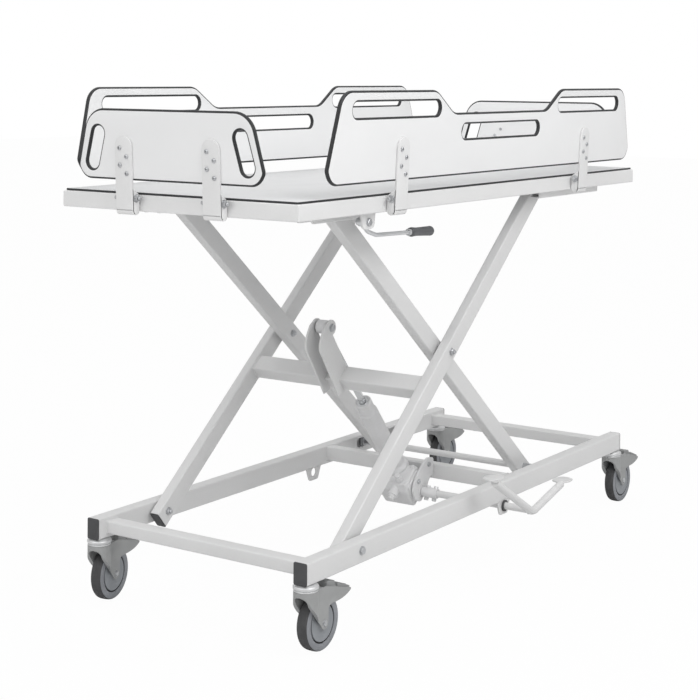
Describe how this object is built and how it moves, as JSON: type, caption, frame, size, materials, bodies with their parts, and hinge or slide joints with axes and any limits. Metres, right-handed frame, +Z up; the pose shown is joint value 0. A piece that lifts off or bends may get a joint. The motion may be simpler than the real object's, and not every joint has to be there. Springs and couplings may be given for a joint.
{
  "type": "height-adjustable changing trolley",
  "caption": "Mobile flat-topped care trolley on braked casters, with fold-down side and end rails and a foot-pumped hydraulic scissor lift.",
  "frame": {"origin": "on the floor, below the middle of the overall box", "axes": "+X along the length, from the end under the release lever to the other end; +Y across the width, away from the foot rocker; +Z up"},
  "size_m": [1.8262, 0.799, 1.2348],
  "materials": {
    "white_paint": "smooth white powder coat with a fine orange-peel texture",
    "board_white": "pale grey-white laminate with a dark core at its edge",
    "rail_laminate": "white compact laminate with black core edges",
    "black_plastic": "moulded black plastic, fine grain",
    "grey_plastic": "moulded mid-grey plastic, fine grain",
    "tyre_rubber": "dark grey non-marking rubber tread",
    "wheel_plastic": "blue-grey moulded wheel disc",
    "zinc_steel": "bright zinc-plated steel",
    "piston_steel": "hard chromed piston rod"
  },
  "bodies": {
    "base": {"base_frame": "white_paint", "base_cap_foot_right": "black_plastic", "base_cap_foot_left": "black_plastic", "base_cap_head_right": "black_plastic", "base_cap_head_left": "black_plastic", "lower_pivot_bolt_right": "zinc_steel", "lower_pivot_bolt_left": "zinc_steel", "pedal_bush": "black_plastic", "pump_bracket": "white_paint", "swivel_ring_foot_right": "zinc_steel", "swivel_ring_foot_left": "zinc_steel", "swivel_ring_head_right": "zinc_steel", "swivel_ring_head_left": "zinc_steel"},
    "outer_legs": {"outer_leg_frame": "white_paint", "lift_pin": "zinc_steel", "centre_pivot_bolt_right": "zinc_steel", "centre_pivot_bolt_left": "zinc_steel"},
    "inner_legs": {"inner_leg_frame": "white_paint"},
    "table": {"table_frame": "white_paint", "table_board": "board_white", "upper_pivot_bolt_right": "zinc_steel", "upper_pivot_bolt_left": "zinc_steel"},
    "pump": {"pump_cylinder": "white_paint"},
    "piston": {"piston_rod": "piston_steel"},
    "foot_rocker": {"foot_pedal": "white_paint"},
    "upper_roller_right": {"upper_roller_right": "zinc_steel"},
    "lower_roller_right": {"lower_roller_right": "zinc_steel"},
    "upper_roller_left": {"upper_roller_left": "zinc_steel"},
    "lower_roller_left": {"lower_roller_left": "zinc_steel"},
    "caster_foot_right": {"caster_fork_foot_right": "grey_plastic"},
    "wheel_foot_right": {"caster_tyre_foot_right": "tyre_rubber", "caster_hub_foot_right": "wheel_plastic"},
    "brake_foot_right": {"brake_pedal_foot_right": "grey_plastic"},
    "caster_foot_left": {"caster_fork_foot_left": "grey_plastic"},
    "wheel_foot_left": {"caster_tyre_foot_left": "tyre_rubber", "caster_hub_foot_left": "wheel_plastic"},
    "brake_foot_left": {"brake_pedal_foot_left": "grey_plastic"},
    "caster_head_right": {"caster_fork_head_right": "grey_plastic"},
    "wheel_head_right": {"caster_tyre_head_right": "tyre_rubber", "caster_hub_head_right": "wheel_plastic"},
    "brake_head_right": {"brake_pedal_head_right": "grey_plastic"},
    "caster_head_left": {"caster_fork_head_left": "grey_plastic"},
    "wheel_head_left": {"caster_tyre_head_left": "tyre_rubber", "caster_hub_head_left": "wheel_plastic"},
    "brake_head_left": {"brake_pedal_head_left": "grey_plastic"},
    "rail_side_right": {"side_right_panel": "rail_laminate", "side_right_strap_1": "white_paint", "side_right_strap_2": "white_paint"},
    "rail_side_left": {"side_left_panel": "rail_laminate", "side_left_strap_1": "white_paint", "side_left_strap_2": "white_paint"},
    "rail_end_foot": {"end_foot_panel": "rail_laminate", "end_foot_strap_1": "white_paint", "end_foot_strap_2": "white_paint"},
    "rail_end_head": {"end_head_panel": "rail_laminate", "end_head_strap_1": "white_paint", "end_head_strap_2": "white_paint"},
    "release_lever": {"hand_lever": "zinc_steel", "lever_grip": "black_plastic"}
  },
  "joints": [
    {"name": "lift", "type": "hinge", "parent": "base", "child": "outer_legs", "pos_m": [-0.59491, 0.02251, 0.187], "axis": [0, 1, 0], "range_deg": [0, 24]},
    {"name": "scissor_pivot", "type": "hinge", "parent": "outer_legs", "child": "inner_legs", "pos_m": [-0.13173, 0.02251, 0.57154], "axis": [0, 1, 0], "range_deg": [-48, 0]},
    {"name": "table_pivot", "type": "hinge", "parent": "inner_legs", "child": "table", "pos_m": [-0.59491, 0.02251, 0.95608], "axis": [0, 1, 0], "range_deg": [0, 24]},
    {"name": "pump_tilt", "type": "hinge", "parent": "base", "child": "pump", "pos_m": [0.07409, 0.02251, 0.146], "axis": [0, 1, 0], "range_deg": [0, 3.12]},
    {"name": "rod_slide", "type": "slide", "parent": "pump", "child": "piston", "axis": [-0.6382, 0, 0.7698], "range_m": [-0.2178, 0]},
    {"name": "rocker", "type": "hinge", "parent": "base", "child": "foot_rocker", "pos_m": [0.07409, -0.38249, 0.146], "axis": [0, 1, 0], "range_deg": [-20, 3]},
    {"name": "upper_roller_right_spin", "type": "hinge", "parent": "outer_legs", "child": "upper_roller_right", "pos_m": [0.33145, -0.26749, 0.95608], "axis": [0, 1, 0], "continuous": true},
    {"name": "lower_roller_right_spin", "type": "hinge", "parent": "inner_legs", "child": "lower_roller_right", "pos_m": [0.33145, -0.26749, 0.187], "axis": [0, 1, 0], "continuous": true},
    {"name": "upper_roller_left_spin", "type": "hinge", "parent": "outer_legs", "child": "upper_roller_left", "pos_m": [0.33145, 0.31251, 0.95608], "axis": [0, 1, 0], "continuous": true},
    {"name": "lower_roller_left_spin", "type": "hinge", "parent": "inner_legs", "child": "lower_roller_left", "pos_m": [0.33145, 0.31251, 0.187], "axis": [0, 1, 0], "continuous": true},
    {"name": "swivel_foot_right", "type": "hinge", "parent": "base", "child": "caster_foot_right", "pos_m": [-0.78791, -0.28149, 0.142], "axis": [0, 0, 1], "continuous": true},
    {"name": "roll_foot_right", "type": "hinge", "parent": "caster_foot_right", "child": "wheel_foot_right", "pos_m": [-0.74291, -0.28149, 0.0625], "axis": [0, 1, 0], "continuous": true},
    {"name": "brake_foot_right", "type": "hinge", "parent": "caster_foot_right", "child": "brake_foot_right", "pos_m": [-0.71991, -0.28149, 0.126], "axis": [0, 1, 0], "range_deg": [0, 8]},
    {"name": "swivel_foot_left", "type": "hinge", "parent": "base", "child": "caster_foot_left", "pos_m": [-0.78791, 0.32651, 0.142], "axis": [0, 0, 1], "continuous": true},
    {"name": "roll_foot_left", "type": "hinge", "parent": "caster_foot_left", "child": "wheel_foot_left", "pos_m": [-0.74346, 0.33355, 0.0625], "axis": [-0.1564, 0.9877, 0], "continuous": true},
    {"name": "brake_foot_left", "type": "hinge", "parent": "caster_foot_left", "child": "brake_foot_left", "pos_m": [-0.72075, 0.33714, 0.126], "axis": [-0.1564, 0.9877, 0], "range_deg": [0, 8]},
    {"name": "swivel_head_right", "type": "hinge", "parent": "base", "child": "caster_head_right", "pos_m": [0.76609, -0.28149, 0.142], "axis": [0, 0, 1], "continuous": true},
    {"name": "roll_head_right", "type": "hinge", "parent": "caster_head_right", "child": "wheel_head_right", "pos_m": [0.81109, -0.28149, 0.0625], "axis": [0, 1, 0], "continuous": true},
    {"name": "brake_head_right", "type": "hinge", "parent": "caster_head_right", "child": "brake_head_right", "pos_m": [0.83409, -0.28149, 0.126], "axis": [0, 1, 0], "range_deg": [0, 8]},
    {"name": "swivel_head_left", "type": "hinge", "parent": "base", "child": "caster_head_left", "pos_m": [0.76609, 0.32651, 0.142], "axis": [0, 0, 1], "continuous": true},
    {"name": "roll_head_left", "type": "hinge", "parent": "caster_head_left", "child": "wheel_head_left", "pos_m": [0.81109, 0.32651, 0.0625], "axis": [0, 1, 0], "continuous": true},
    {"name": "brake_head_left", "type": "hinge", "parent": "caster_head_left", "child": "brake_head_left", "pos_m": [0.83409, 0.32651, 0.126], "axis": [0, 1, 0], "range_deg": [0, 8]},
    {"name": "fold_side_right", "type": "hinge", "parent": "table", "child": "rail_side_right", "pos_m": [-0.03991, -0.33279, 0.958], "axis": [1, 0, 0], "range_deg": [0, 165]},
    {"name": "fold_side_left", "type": "hinge", "parent": "table", "child": "rail_side_left", "pos_m": [-0.03991, 0.37781, 0.958], "axis": [-1, 0, 0], "range_deg": [0, 165]},
    {"name": "fold_end_foot", "type": "hinge", "parent": "table", "child": "rail_end_foot", "pos_m": [-0.89171, 0.02251, 0.958], "axis": [0, -1, 0], "range_deg": [0, 165]},
    {"name": "fold_end_head", "type": "hinge", "parent": "table", "child": "rail_end_head", "pos_m": [0.83389, 0.02251, 0.958], "axis": [0, 1, 0], "range_deg": [0, 165]},
    {"name": "lever_pull", "type": "hinge", "parent": "table", "child": "release_lever", "pos_m": [-0.57191, -0.27749, 0.932], "axis": [0, -1, 0], "range_deg": [0, 8]}
  ],
  "couplings": [
    {"joint": "scissor_pivot", "follows": "lift", "ratio": -2},
    {"joint": "table_pivot", "follows": "lift", "ratio": 1},
    {"joint": "pump_tilt", "follows": "lift", "ratio": 0.13},
    {"joint": "rod_slide", "follows": "lift", "m_per_rad": -0.52}
  ]
}
